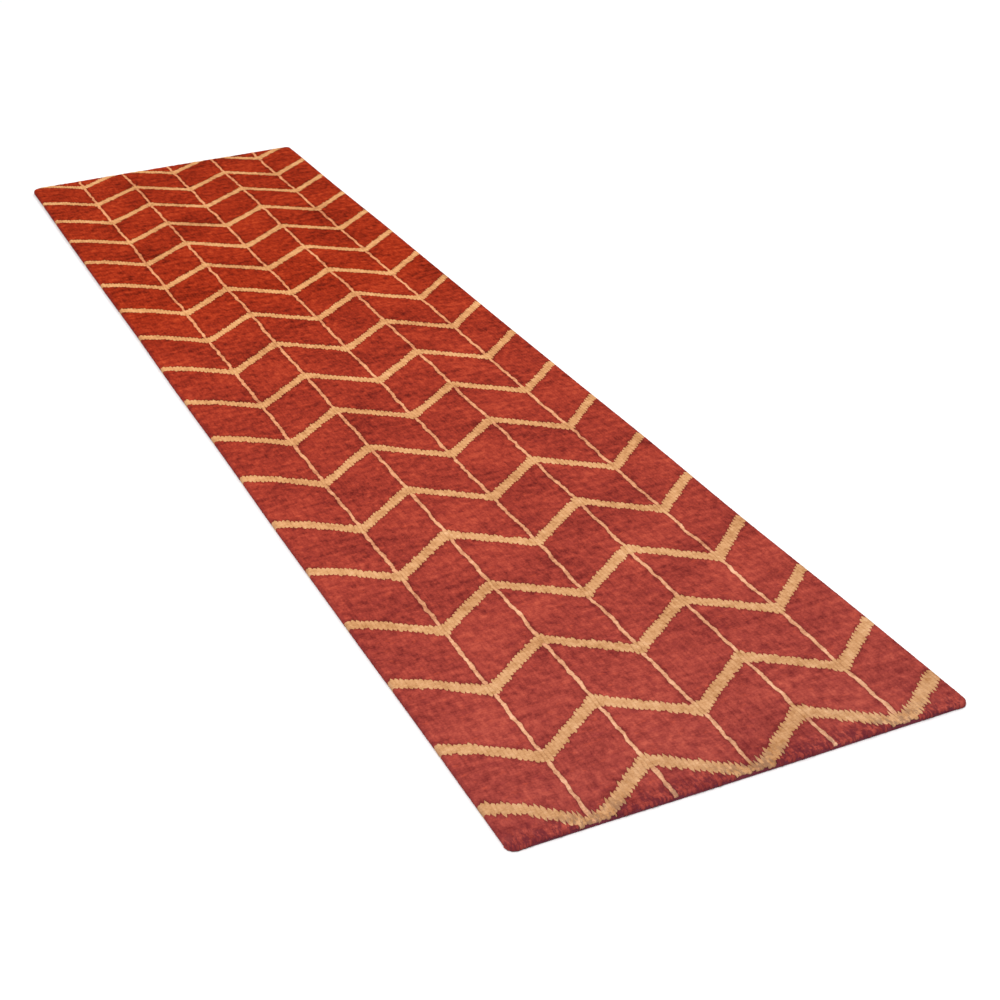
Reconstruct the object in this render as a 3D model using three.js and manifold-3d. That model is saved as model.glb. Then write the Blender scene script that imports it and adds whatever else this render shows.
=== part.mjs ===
// A hand-tufted wool runner rug: red cut pile crossed by cream zigzag bands and five thin cream lines that run
// the length of the rug. The pile stands on a cotton canvas, a latex coat holds the tufts from below, a cotton
// backing cloth covers the latex, and the edge is overcast with wine-red wool.
// Millimetres. The rug lies flat: X across, Y along its length, Z up, the origin under its centre on the floor.

import * as THREE from 'three';
import { mergeVertices } from 'three/addons/utils/BufferGeometryUtils.js';
import Module from 'manifold-3d';

const wasm = await Module();
wasm.setup();

// Overall size
const WIDTH = 700;
const LENGTH = 3000;
const THICKNESS = 10;
const CORNER_RADII = { farRight: 13, farLeft: 26, nearLeft: 15, nearRight: 11 };
const GAP = 0.3; // clearance between neighbouring pieces

// Layers under the pile, from the floor up
const CLOTH_THICKNESS = 1.0;
const LATEX_THICKNESS = 1.0;
const CANVAS_THICKNESS = 0.8;
const LATEX_BOTTOM = CLOTH_THICKNESS + GAP;
const CANVAS_BOTTOM = LATEX_BOTTOM + LATEX_THICKNESS + GAP;
const CANVAS_TOP = CANVAS_BOTTOM + CANVAS_THICKNESS;
const PILE_BOTTOM = CANVAS_TOP + GAP;

// Overcast edges: a tall roll across each end, and a low roll under the pile along each side
const END_ROLL_WIDTH = 4.3;
const END_ROLL_HEIGHT = 7.5;
const SIDE_ROLL_WIDTH = 3;
const SIDE_ROLL_HEIGHT = CANVAS_TOP;
const SIDE_OVERHANG = 2; // how far the pile reaches past the side roll
const ROLL_ROUNDING = 1.2;

// Pile
const PILE_ROUNDING = 2.5;
const PILE_END = LENGTH / 2 - END_ROLL_WIDTH - GAP;
const GROOVE_FLOOR = PILE_BOTTOM + 1; // the web that stays under a line, so that a course is one piece

// Five lines along the length, as distances from the left edge
const LINE_PLACES = [122.4, 241.2, 360.3, 480.8, 594.1];
const LINE_WIDTH = 6;
const LINE_BOW = 3.5; // sideways bow of every line halfway along
const LINE_STEPS = 14;

// Zigzag bands: 17 whole ones and one that the far end cuts into three V shapes
const BAND_COUNT = 18;
const BAND_DEPTH = 28; // measured along the rug
const BAND_START = 20;
const BAND_PITCH = 174.1;
const BAND_SWELL = [55, -18]; // slow change of pitch along the rug, first and second harmonic
const UNEVEN_BANDS = { 0: 24, 5: -4, 10: 4, 15: 4 }; // how far these sit from their even places
const LOW_POINT = -49;
const HIGH_POINT = 49;
const LEFT_END_POINT = 41;
const LEFT_SHOULDER = { fromEdge: 50, height: 12 };
const POINT_SCALE = { atEnds: 0.92, atMiddle: 1.03 }; // of those heights, in the bands along the rug
const STEEPEST = 0.95; // rise over run of a band's steepest stretch
const BEYOND = 30; // how far the cutting shapes reach past the pile
const ARC_STEPS = 8; // steps of a quarter turn
const ROUNDING_STEPS = 3; // steps of a rounded rim
const MERGE_DISTANCE = 1e-4;

const FINISHES = {
  red: { color: 0xb2463c, roughness: 0.95 },
  cream: { color: 0xe1af73, roughness: 0.95 },
  creamLine: { color: 0xe6b58a, roughness: 0.95 },
  wine: { color: 0x7c2a33, roughness: 0.9 },
  canvas: { color: 0xcdbf9f, roughness: 0.95 },
  latex: { color: 0xd8d2bd, roughness: 0.6 },
  cloth: { color: 0xcbbd9e, roughness: 0.95 },
};

const rug = new THREE.Group();
rug.name = 'runner_rug';

function addMesh(name, geometry, finish) {
  const material = new THREE.MeshStandardMaterial({ ...finish, metalness: 0 });
  const mesh = new THREE.Mesh(geometry, material);
  mesh.name = name;
  rug.add(mesh);
  return mesh;
}

// ---- Booleans ----

function toSolid(geometry) {
  const bare = geometry.clone();
  bare.deleteAttribute('normal');
  bare.deleteAttribute('uv');
  const merged = mergeVertices(bare, MERGE_DISTANCE);
  return new wasm.Manifold(new wasm.Mesh({
    numProp: 3,
    vertProperties: new Float32Array(merged.attributes.position.array),
    triVerts: new Uint32Array(merged.index.array),
  }));
}

function toGeometry(solid) {
  const mesh = solid.getMesh();
  const geometry = new THREE.BufferGeometry();
  geometry.setAttribute('position', new THREE.BufferAttribute(new Float32Array(mesh.vertProperties), 3));
  geometry.setIndex(new THREE.BufferAttribute(new Uint32Array(mesh.triVerts), 1));
  geometry.computeVertexNormals();
  return geometry;
}

// ---- Flat layers ----

// The corners in turn from the far right one, each with the sides of the rug that it is on.
const CORNERS = [
  { radius: CORNER_RADII.farRight, sideX: 1, sideY: 1 },
  { radius: CORNER_RADII.farLeft, sideX: -1, sideY: 1 },
  { radius: CORNER_RADII.nearLeft, sideX: -1, sideY: -1 },
  { radius: CORNER_RADII.nearRight, sideX: 1, sideY: -1 },
];

// Points of a quarter turn about a middle point, starting at an angle that is a whole number of quarter turns.
function quarterTurn(x, y, radius, turn) {
  return Array.from({ length: ARC_STEPS + 1 }, (unused, step) => {
    const angle = (Math.PI / 2) * (turn + step / ARC_STEPS);
    return new THREE.Vector2(x + radius * Math.cos(angle), y + radius * Math.sin(angle));
  });
}

// A rectangle inside the end rolls, with its corners rounded inside theirs.
function innerOutline(halfWidth, halfLength) {
  return new THREE.Shape(CORNERS.flatMap(({ radius, sideX, sideY }, turn) => {
    const inner = radius - END_ROLL_WIDTH - GAP;
    return quarterTurn(sideX * (halfWidth - inner), sideY * (halfLength - inner), inner, turn);
  }));
}

function layer(shape, bottom, thickness) {
  const geometry = new THREE.ExtrudeGeometry(shape, { depth: thickness, bevelEnabled: false });
  geometry.translate(0, 0, bottom);
  return geometry;
}

function addLayers() {
  const halfWidth = WIDTH / 2 - SIDE_OVERHANG - SIDE_ROLL_WIDTH - GAP;
  const halfLength = LENGTH / 2 - END_ROLL_WIDTH - GAP;
  const outline = innerOutline(halfWidth, halfLength);
  addMesh('backing_cloth', layer(outline, 0, CLOTH_THICKNESS), FINISHES.cloth);
  addMesh('latex_coat', layer(outline, LATEX_BOTTOM, LATEX_THICKNESS), FINISHES.latex);
  addMesh('canvas', layer(outline, CANVAS_BOTTOM, CANVAS_THICKNESS), FINISHES.canvas);
}

// ---- Overcast edges ----

// A roll standing on the floor over a plan shape, with its upper and lower edges rounded.
function roll(shape, height) {
  const geometry = new THREE.ExtrudeGeometry(shape, {
    depth: height - 2 * ROLL_ROUNDING,
    bevelThickness: ROLL_ROUNDING,
    bevelSize: ROLL_ROUNDING,
    bevelOffset: -ROLL_ROUNDING,
    bevelSegments: ROUNDING_STEPS,
  });
  geometry.translate(0, 0, ROLL_ROUNDING);
  return geometry;
}

// The far end's roll in plan: straight across, with a quarter turn at each corner.
function endRollShape(rightRadius, leftRadius) {
  const turns = (inset) => [
    ...quarterTurn(WIDTH / 2 - rightRadius, LENGTH / 2 - rightRadius, rightRadius - inset, 0),
    ...quarterTurn(leftRadius - WIDTH / 2, LENGTH / 2 - leftRadius, leftRadius - inset, 1),
  ];
  return new THREE.Shape([...turns(0), ...turns(END_ROLL_WIDTH).reverse()]);
}

// A side's roll, between the end rolls' turns.
function addSideRoll(name, sideX, nearRadius, farRadius) {
  const near = -LENGTH / 2 + nearRadius + GAP;
  const far = LENGTH / 2 - farRadius - GAP;
  const half = SIDE_ROLL_WIDTH / 2;
  const corners = [[-half, near], [half, near], [half, far], [-half, far]];
  const strip = new THREE.Shape(corners.map(([x, y]) => new THREE.Vector2(x, y)));
  const mesh = addMesh(name, roll(strip, SIDE_ROLL_HEIGHT), FINISHES.wine);
  mesh.position.x = sideX * (WIDTH / 2 - SIDE_OVERHANG - half);
}

function addEdges() {
  const { farRight, farLeft, nearLeft, nearRight } = CORNER_RADII;
  addMesh('end_edge_far', roll(endRollShape(farRight, farLeft), END_ROLL_HEIGHT), FINISHES.wine);
  const near = roll(endRollShape(nearLeft, nearRight), END_ROLL_HEIGHT);
  near.rotateZ(Math.PI);
  addMesh('end_edge_near', near, FINISHES.wine);
  addSideRoll('side_edge_left', -1, nearLeft, farLeft);
  addSideRoll('side_edge_right', 1, nearRight, farRight);
}

// ---- Pile ----

// The pile in plan: full width between the corners, and inside the end rolls round the corners.
function pileOutline() {
  return new THREE.Shape(CORNERS.flatMap(({ radius, sideX, sideY }, turn) => {
    const x = sideX * (WIDTH / 2 - radius);
    const y = sideY * (LENGTH / 2 - radius);
    const sideEnd = new THREE.Vector2((sideX * WIDTH) / 2, y - sideY * GAP);
    const round = quarterTurn(x, y, radius - END_ROLL_WIDTH - GAP, turn);
    return turn % 2 === 0 ? [sideEnd, ...round] : [...round, sideEnd];
  }));
}

// The whole pile as one slab with a rounded upper rim; every course and band is cut from it.
function pileSlab() {
  const geometry = new THREE.ExtrudeGeometry(pileOutline(), {
    depth: THICKNESS - 2 * PILE_ROUNDING,
    bevelThickness: PILE_ROUNDING,
    bevelSize: PILE_ROUNDING,
    bevelOffset: -PILE_ROUNDING,
    bevelSegments: ROUNDING_STEPS,
  });
  geometry.translate(0, 0, PILE_ROUNDING);
  return toSolid(geometry);
}

function lineX(index, y) {
  const along = y / LENGTH + 0.5;
  return LINE_PLACES[index] - WIDTH / 2 + LINE_BOW * Math.sin(Math.PI * along);
}

function bandLevel(band) {
  const phase = (Math.PI * band) / (BAND_COUNT - 1);
  const swell = BAND_SWELL[0] * Math.sin(phase) + BAND_SWELL[1] * Math.sin(2 * phase);
  return -LENGTH / 2 + BAND_START + BAND_PITCH * band + swell + (UNEVEN_BANDS[band] ?? 0);
}

function pointScale(band) {
  const { atEnds, atMiddle } = POINT_SCALE;
  return atEnds + (atMiddle - atEnds) * Math.sin((Math.PI * band) / (BAND_COUNT - 1));
}

// The middle of a band, from left to right: low on the odd lines, high on the even ones and at both sides.
function zigzag(band) {
  const level = bandLevel(band);
  const side = WIDTH / 2;
  const points = [[-side - BEYOND, LEFT_END_POINT], [-side, LEFT_END_POINT]];
  points.push([LEFT_SHOULDER.fromEdge - side, LEFT_SHOULDER.height]);
  LINE_PLACES.forEach((place, index) => {
    points.push([lineX(index, level), index % 2 === 0 ? LOW_POINT : HIGH_POINT]);
  });
  points.push([side, HIGH_POINT], [side + BEYOND, HIGH_POINT]);
  return points.map(([x, height]) => [x, level + pointScale(band) * height]);
}

// An upright block between two lines of points that run from left to right.
function blockBetween(lower, upper, bottom = PILE_BOTTOM, top = THICKNESS + 1) {
  const outline = [...lower, ...[...upper].reverse()];
  const shape = new THREE.Shape(outline.map(([x, y]) => new THREE.Vector2(x, y)));
  return toSolid(layer(shape, bottom, top - bottom));
}

function shifted(points, distance) {
  return points.map(([x, y]) => [x, y + distance]);
}

function straightAcross(y, left = -WIDTH / 2 - BEYOND, right = WIDTH / 2 + BEYOND) {
  return [[left, y], [right, y]];
}

function stretch(left, right) {
  return blockBetween(straightAcross(-LENGTH, left, right), straightAcross(LENGTH, left, right));
}

// A strip along one line, for the line itself and for the groove that it stands in.
function lineStrip(index, width, end, bottom, top) {
  const sides = [-1, 1].map((side) => {
    const points = [];
    for (let step = 0; step <= LINE_STEPS; step += 1) {
      const y = end * ((2 * step) / LINE_STEPS - 1);
      points.push([lineX(index, y) + (side * width) / 2, y]);
    }
    return points;
  });
  return blockBetween(sides[1], sides[0], bottom, top);
}

function addPile() {
  const edge = BAND_DEPTH / 2;
  const courseEdge = edge + GAP * Math.hypot(1, STEEPEST); // the gap is measured square to the slope
  const nearCut = -LENGTH / 2 - BEYOND;
  const farCut = LENGTH / 2 + BEYOND;
  const slab = pileSlab();

  const grooves = LINE_PLACES.map((place, index) => (
    lineStrip(index, LINE_WIDTH + 2 * GAP, PILE_END + BEYOND, GROOVE_FLOOR, THICKNESS + 1)
  ));
  const grooved = grooves.reduce((pile, groove) => pile.subtract(groove), slab);

  const addPiece = (name, block, finish) => {
    addMesh(name, toGeometry(grooved.intersect(block)), finish);
  };
  const number = (value) => String(value).padStart(2, '0');

  // Red triangles between the near end and the first band, one on each side of its low points.
  const lineAt = (index) => lineX(index, nearCut);
  const nearStops = [-WIDTH, lineAt(0), lineAt(2), lineAt(4), WIDTH];
  const firstBand = zigzag(0);
  const nearRed = blockBetween(straightAcross(nearCut), shifted(firstBand, -courseEdge));
  nearStops.slice(1).forEach((right, index) => {
    addPiece(`red_near_${index + 1}`, nearRed.intersect(stretch(nearStops[index], right)), FINISHES.red);
  });

  // Whole bands, and the red course above each of them.
  for (let band = 0; band < BAND_COUNT - 1; band += 1) {
    const middle = zigzag(band);
    const next = zigzag(band + 1);
    addPiece(`cream_band_${number(band + 1)}`, blockBetween(shifted(middle, -edge), shifted(middle, edge)),
      FINISHES.cream);
    addPiece(`red_course_${number(band + 1)}`,
      blockBetween(shifted(middle, courseEdge), shifted(next, -courseEdge)), FINISHES.red);
  }

  // The far end cuts the last band into three V shapes, each with a red triangle in its mouth.
  const lastBand = zigzag(BAND_COUNT - 1);
  const farStops = [-WIDTH, lineX(1, farCut), lineX(3, farCut), WIDTH];
  const lastCream = blockBetween(shifted(lastBand, -edge), shifted(lastBand, edge));
  const farRed = blockBetween(shifted(lastBand, courseEdge), straightAcross(farCut + BAND_PITCH));
  farStops.slice(1).forEach((right, index) => {
    const part = stretch(farStops[index], right);
    addPiece(`cream_far_${index + 1}`, lastCream.intersect(part), FINISHES.cream);
    addPiece(`red_far_${index + 1}`, farRed.intersect(part), FINISHES.red);
  });

  // The lines, one row of tufts wide, from end to end.
  LINE_PLACES.forEach((place, index) => {
    const strip = lineStrip(index, LINE_WIDTH, PILE_END + BEYOND, GROOVE_FLOOR + GAP, THICKNESS + 1);
    addMesh(`cream_line_${index + 1}`, toGeometry(slab.intersect(strip)), FINISHES.creamLine);
  });
}

addLayers();
addEdges();
addPile();

export default rug;
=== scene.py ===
import math

import bpy
import numpy as np
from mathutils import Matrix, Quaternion, Vector


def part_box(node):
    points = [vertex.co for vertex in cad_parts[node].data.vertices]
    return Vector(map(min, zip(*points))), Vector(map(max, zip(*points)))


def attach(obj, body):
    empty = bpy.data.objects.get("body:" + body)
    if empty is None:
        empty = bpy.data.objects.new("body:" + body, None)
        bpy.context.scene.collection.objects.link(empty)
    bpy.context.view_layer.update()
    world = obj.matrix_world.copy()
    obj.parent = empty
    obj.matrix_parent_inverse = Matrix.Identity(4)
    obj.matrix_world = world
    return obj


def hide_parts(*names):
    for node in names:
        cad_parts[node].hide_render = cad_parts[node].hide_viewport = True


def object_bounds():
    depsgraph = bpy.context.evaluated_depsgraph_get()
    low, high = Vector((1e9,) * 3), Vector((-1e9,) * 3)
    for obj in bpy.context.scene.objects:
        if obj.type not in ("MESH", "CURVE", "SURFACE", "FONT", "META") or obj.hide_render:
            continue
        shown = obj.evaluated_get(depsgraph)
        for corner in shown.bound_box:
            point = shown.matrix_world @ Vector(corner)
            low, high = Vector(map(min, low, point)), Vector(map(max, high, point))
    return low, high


# The looks of a hand-tufted wool runner. Lengths are in millimetres in the CAD model's frame, and make_mesh()
# turns them into metres. X runs across the rug, Y along it, Z up, and the floor is at 0.

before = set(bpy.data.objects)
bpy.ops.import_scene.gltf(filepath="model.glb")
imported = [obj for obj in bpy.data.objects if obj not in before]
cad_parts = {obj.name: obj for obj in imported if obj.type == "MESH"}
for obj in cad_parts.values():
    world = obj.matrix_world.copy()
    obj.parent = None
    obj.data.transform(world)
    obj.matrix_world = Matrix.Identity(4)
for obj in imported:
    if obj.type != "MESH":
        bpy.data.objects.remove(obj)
cad_low, cad_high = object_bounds()

MM = 0.001


def node_box(name):
    low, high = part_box(name)
    return np.array(low) / MM, np.array(high) / MM


# ---- Sizes read from the frame

HALF_WIDTH = cad_high.x / MM
HALF_LENGTH = cad_high.y / MM
THICKNESS = cad_high.z / MM
BAND_COUNT = 18
LINE_COUNT = 5
PILE_BOTTOM = node_box("red_course_05")[0][2]
LINE_BOTTOM = node_box("cream_line_1")[0][2]
ROLL_TOP = node_box("end_edge_near")[1][2]

# ---- The pattern, as the CAD model states it

BAND_DEPTH = 28
BLUNT = 4  # how far to each side of a point its band is levelled out
LOW_POINT = -49
HIGH_POINT = 49
LEFT_END_POINT = 41
LEFT_SHOULDER_FROM_EDGE = 50
LEFT_SHOULDER = 12
POINT_SCALE = (0.92, 1.03)  # of those heights, at the rug's ends and halfway
FIRST_BAND_SHIFTS = [9, 11, -6, -4, -9, 1, 0, -9]  # it is the least even band
LINE_WIDTH = 6
ROLL_GAP = 0.3  # between a side's roll and an end's
END_ROLL_WIDTH = 4.3

line_boxes = [node_box(f"cream_line_{index + 1}") for index in range(LINE_COUNT)]
LINE_X = [low[0] + LINE_WIDTH / 2 for low, high in line_boxes]
LINE_BOW = line_boxes[0][1][0] - line_boxes[0][0][0] - LINE_WIDTH

# ---- Rows of tufts

ROW_PITCH = 6.2
LINE_ROW = 6.1
ROW_SPOTS = [0.015, 0.27, 0.5, 0.73, 0.985]  # places of points in a row
SIDE_SPOTS = [0, 0.02, 0.08, 0.18, 0.32, 0.5, 0.73, 0.985]  # closer at the rug's side
LINE_SPOTS = [-0.035, 0.25, 0.5, 0.75, 1.035]  # a line closes over its groove's sides
TUFT_PITCH = 5.2
STEP = 1.6  # between points along the rug
CROWN = THICKNESS - 0.2
ROW_DEPTH = 0.08
TUFT_DEPTH = 0.3
TUFT_BORDER = 2.4  # width of the dip between tufts
TUFT_SCATTER = 0.15
SOLID_INSET = 3.9  # from half a band's depth to its solid part, which the teeth run out of
SOLID_CHANGE = 1.2  # added to each side at the near end, and taken off at the far end
POINT_SWELL = (20, 1.8)  # a band is deeper near a line, (within, by)
BAND_WANDER = (75, 1.6)  # slow waves of a band's middle, (cell, size)
BAND_CHANGE = (55, 1.0)  # of its depth
EDGE_LUMPS = (17, 0.6)  # and of each edge
TOOTH = (1.2, 6.0)  # how far the middle of a row runs out of the cream
FIRST_BAND_TOOTH = 1.6  # times longer: the pile there is combed out
TIP_TOOTH = (35, 0.7)  # and longer near its low points, (within, by this share)
TOOTH_SCATTER = 1.1
TOOTH_MAX = 2.2
SEAM_GAP = 0.05
SEAM_DIP = 0.16
SEAM_DIP_WIDTH = 1.2
SEAM_PAINTED_SHADE = 1.3  # painted shade along seams: how much darker the red is made beside the cream
SEAM_PAINTED_SHADE_WIDTH = 4

# Where the pile ends it turns over and hangs: (distance past the shoulder, height) down its face
SHOULDER = 3.4
SHOULDER_X = HALF_WIDTH - SHOULDER
SIDE_FACE = np.array([(2.0, 9.3), (3.1, 8.0), (3.6, 6.2), (3.6, 4.2), (3.1, 2.5), (2.4, 1.2)])
END_FACE = np.array([(2.0, 9.3), (3.1, 8.0), (3.6, 6.2), (3.75, 4.2), (3.7, 2.5), (3.5, 1.2)])
SIDE_RETURN = np.array([(1.7, 1.3), (1.6, 2.4), (1.6, 3.2), (1.6, PILE_BOTTOM)])
END_RETURN = (3.15, 3.0)
FACE_COUNT = len(SIDE_FACE)
FACE_LOW = SIDE_FACE[-1, 1]
OVER_ROLL = ROLL_TOP + 0.25
ROLL_INSET = END_ROLL_WIDTH + 0.4  # where the pile goes down to the canvas
WEB_DROP = 0.15  # from the bottom of a line to the web under it
WEB_RAMP = (8.5, 5.0)  # insets of its climb over the end roll
WEB_COVER = 0.2  # over that roll
RED_HANG = (1.6, 5.4, 1.6)  # lowest, highest, and how much higher between rows
CREAM_HANG = (3.0, 8.3, 0.8)
LINE_HANG = 6.2
ROW_REACH = (-1.8, 0.6)  # how unevenly the rows end
ROW_POINT = 0.4  # the middle of a row reaches this much further
CORNER_HELD = 15  # rows end evenly from this far before a corner
CORNER_HANG = (45, 15)  # between these distances from the side it comes to hang all the way down
LEAST_PILE = 2.5  # a colour is laid where more of it is left at the rug's end
SHORTEST_PILE = 1.5
SEAM_INSET = (0.5, 0.15)  # how much further in a seam goes down, at the rug's end and elsewhere
GROOVE_LIP = 0.12  # thickness and reach of the web at the rug's end
GROOVE_REACH = 0.8
BACK_RISE = (-0.03, 0.25)  # then up behind an end's face, in a groove and elsewhere
HELD_SIDE = 40  # tufts stray less within this of the rug's sides
BAND_BLEND = 2  # a line changes colour this near a band's edge
TINY = 0.01
TOP_EDGE_DARK = 0.2  # how dark the wool is at a side's shoulder
TOP_EDGE_DARK_WIDTH = 2
SIDE_FACE_DARK = (0.45, 1)  # and at the top and the bottom of the hanging faces
# painted shade: the end faces darken downward, where the hanging pile is in shadow
END_FACE_SHADE = (0.2, 1)


# ---- Randomness, all of it seeded

def smooth(low, high, value):
    share = np.clip((value - low) / (high - low), 0, 1)
    return share * share * (3 - 2 * share)


NOISE_MARGIN = 50


class Noise:
    """Smooth random values from -1 to 1 over the rug's plan."""

    def __init__(self, seed, cell_x, cell_y):
        self.cell, self.reach = (cell_x, cell_y), (HALF_WIDTH + NOISE_MARGIN, HALF_LENGTH + NOISE_MARGIN)
        shape = [int(2 * reach / cell) + 3 for reach, cell in zip(self.reach, self.cell)]
        self.values = np.random.default_rng(seed).uniform(-1, 1, shape)

    def __call__(self, x, y):
        u, v = (x + self.reach[0]) / self.cell[0], (y + self.reach[1]) / self.cell[1]
        i, j = [np.clip(np.array(at, int), 0, size - 2) for at, size in zip((u, v), self.values.shape)]
        a, b = smooth(0, 1, u - i), smooth(0, 1, v - j)
        near = self.values[i, j] * (1 - a) + self.values[i + 1, j] * a
        far = self.values[i, j + 1] * (1 - a) + self.values[i + 1, j + 1] * a
        return near * (1 - b) + far * b


swell = Noise(11, 190, 260)
ripple = Noise(12, 48, 60)
drift = Noise(13, 60, 90)
wriggle = Noise(14, 12, 16)
edge_sway = Noise(15, 2 * HALF_WIDTH, 330)
end_sway = Noise(16, 160, 2 * HALF_LENGTH)
SWELL = 0.22  # heights of long and short waves in the pile
RIPPLE = 0.18
DRIFT = 0.7  # how far tufts stray, many together and one by one
WRIGGLE = 0.4
EDGE_SWAY = 1.3
END_SWAY = 0.8
SWAY_FROM = (0.3, 0.97)  # shares of the half width and length where it begins


def sway(x, y):
    """A handmade rug's edges aren't quite straight. Every piece is moved by this, so they still fit."""
    x_share = smooth(SWAY_FROM[0], 1, np.abs(x) / HALF_WIDTH)
    y_share = smooth(SWAY_FROM[1], 1, np.abs(y) / HALF_LENGTH)
    return x + EDGE_SWAY * edge_sway(x, y) * x_share, y + END_SWAY * end_sway(x, y) * y_share


# ---- Meshes

# The second value is painted shade between tufts and along seams, partly the real darker colour of wool deep
# in the pile; the third makes the sides' shoulders and the hanging faces darker, painted shade at the ends.
VALUE_NAMES = ("shade", "gap_shade", "edge_dark_and_shade", "in_band")
SHADE, GAP_SHADE, EDGE_DARK_AND_SHADE = 0, 1, 2  # their places in that order


def rows_of(*values):
    """Arrays of one value for each point, as rows of one point each."""
    return np.column_stack([value.ravel() for value in values])


def make_mesh(name, points, smooth_quads, flat_quads=(), polygons=(), values=None):
    """A mesh of points in millimetres. values has a row of VALUE_NAMES' numbers for each point."""
    placed = rows_of(*sway(points[:, 0], points[:, 1]), points[:, 2]) * MM
    faces = [*np.array(smooth_quads).tolist(), *np.array(flat_quads).tolist()]
    faces += [np.array(corners).tolist() for corners in polygons]
    mesh = bpy.data.meshes.new(name)
    mesh.from_pydata(placed.tolist(), [], faces)
    mesh.polygons.foreach_set("use_smooth", np.arange(len(faces)) < len(smooth_quads))
    if values is not None:
        for key, column in zip(VALUE_NAMES, values.T):
            layer = mesh.attributes.new(key, "FLOAT", "POINT")
            layer.data.foreach_set("value", np.ascontiguousarray(column, np.float32))
    mesh.validate()
    piece = bpy.data.objects.new(name, mesh)
    bpy.context.scene.collection.objects.link(piece)
    return piece


def add_piece(piece, material, slot, *nodes):
    piece.data.materials.append(material)
    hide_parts(*nodes)
    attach(piece, "root")
    return piece


def ribbon(first, second):
    """Quads between two equally long chains of point numbers."""
    first, second = np.array(first), np.array(second)
    return np.column_stack([first[:-1], second[:-1], second[1:], first[1:]])


def grid_quads(numbers):
    """Quads of a grid of point numbers, facing up where rows run along +Y and columns along +X."""
    corners = [numbers[:-1, :-1], numbers[:-1, 1:], numbers[1:, 1:], numbers[1:, :-1]]
    return np.stack([corner.ravel() for corner in corners], axis=1)


# ---- The rug's outline in plan

def corner_radius(side, end):
    """A corner's radius, from where the side's roll stops short of it."""
    low, high = node_box("side_edge_left" if side < 0 else "side_edge_right")
    stop = -low[1] if end < 0 else high[1]
    return HALF_LENGTH - stop - ROLL_GAP


CORNER_RADII = np.array([[corner_radius(side, end) for end in (-1, 1)] for side in (-1, 1)])


def radius_at(x, y):
    x, y = np.broadcast_arrays(x, y)
    return CORNER_RADII[(x > 0).astype(int), (y > 0).astype(int)]


def end_reach(x, end, inset=0.0):
    """How far from the middle the rug reaches along its length, inset millimetres inside its outline."""
    radius = radius_at(x, end)
    past = np.clip((np.abs(x) - HALF_WIDTH + radius) / (radius - inset), 0, 1)
    return HALF_LENGTH - radius + (radius - inset) * np.sqrt(1 - past**2)


def inside(x, y, inset):
    """The nearest points that are at least inset millimetres inside the ends and corners."""
    radius = radius_at(x, y)
    middle_x, middle_y = HALF_WIDTH - radius, HALF_LENGTH - radius
    over_x, over_y = np.abs(x) - middle_x, np.abs(y) - middle_y
    corner = (over_x > 0) & (over_y > 0)
    from_middle = np.maximum(np.hypot(over_x, over_y), 1e-6)
    pull = np.where(corner, np.minimum(1, (radius - inset) / from_middle), 1)
    new_x = np.where(corner, middle_x + over_x * pull, np.abs(x))
    new_y = np.where(corner, middle_y + over_y * pull, np.minimum(np.abs(y), HALF_LENGTH - inset))
    return np.copysign(new_x, x), np.copysign(new_y, y)


# ---- Columns of points across the rug

class Columns:
    """Points across the rug: place, row of tufts, place in the row (0 to 1), and line."""

    def __init__(self, x, row, spot, line):
        self.x, self.row, self.spot = np.array(x, float), np.array(row, int), np.array(spot, float)
        self.line = np.array(line, int)
        self.point = 1 - np.abs(2 * self.spot - 1)
        self.across = self.row + self.spot
        self.loose = smooth(SHOULDER_X, SHOULDER_X - HELD_SIDE, np.abs(self.x))

    def part(self, first, last):
        return Columns(*[value[first:last + 1] for value in (self.x, self.row, self.spot, self.line)])


def lay_rows():
    """Edges of the rows of tufts, with one whole row for each line, and the lines' rows."""
    stops = [-SHOULDER_X]
    for x in LINE_X:
        stops += [x - LINE_ROW / 2, x + LINE_ROW / 2]
    stops.append(SHOULDER_X)
    edges, lines = [], []
    for number, (left, right) in enumerate(zip(stops[:-1], stops[1:])):
        is_line = number % 2 == 1
        count = 1 if is_line else round((right - left) / ROW_PITCH)
        if is_line:
            lines.append(len(edges))
        edges += list(np.linspace(left, right, count + 1)[:-1])
    return np.array([*edges, SHOULDER_X]), lines


row_edges, line_rows = lay_rows()
ROW_COUNT = len(row_edges) - 1


def lay_columns():
    found = []
    for number in range(ROW_COUNT):
        left, right = row_edges[number], row_edges[number + 1]
        line = line_rows.index(number) if number in line_rows else -1
        spots = ROW_SPOTS
        if number == 0:
            spots = SIDE_SPOTS
        if number == ROW_COUNT - 1:
            spots = [1 - place for place in SIDE_SPOTS[::-1]]
        found += [(left + (right - left) * place, number, place, line) for place in spots]
    return Columns(*zip(*found))


columns = lay_columns()
COLUMN_COUNT = len(columns.x)


# ---- How the lines wander

KINK_PITCH = 17
KINK = 1.8
BULGE = 1.0  # a line is wider and narrower from tuft to tuft
WANDER_PITCH = 95
WANDER = 2.0
BESIDE_LINE = 22  # the pile follows a line this near it
kink_chance = np.random.default_rng(51)
kink_places = np.arange(-HALF_LENGTH - KINK_PITCH, HALF_LENGTH + 2 * KINK_PITCH, KINK_PITCH)
kinks = kink_chance.uniform(-KINK, KINK, (LINE_COUNT, len(kink_places)))
bulge_places = np.arange(-HALF_LENGTH - TUFT_PITCH, HALF_LENGTH + 2 * TUFT_PITCH, TUFT_PITCH)
bulges = kink_chance.uniform(-BULGE, BULGE, (LINE_COUNT, len(bulge_places)))
wanders = [Noise(60 + index, 2 * HALF_WIDTH, WANDER_PITCH) for index in range(LINE_COUNT)]


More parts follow.
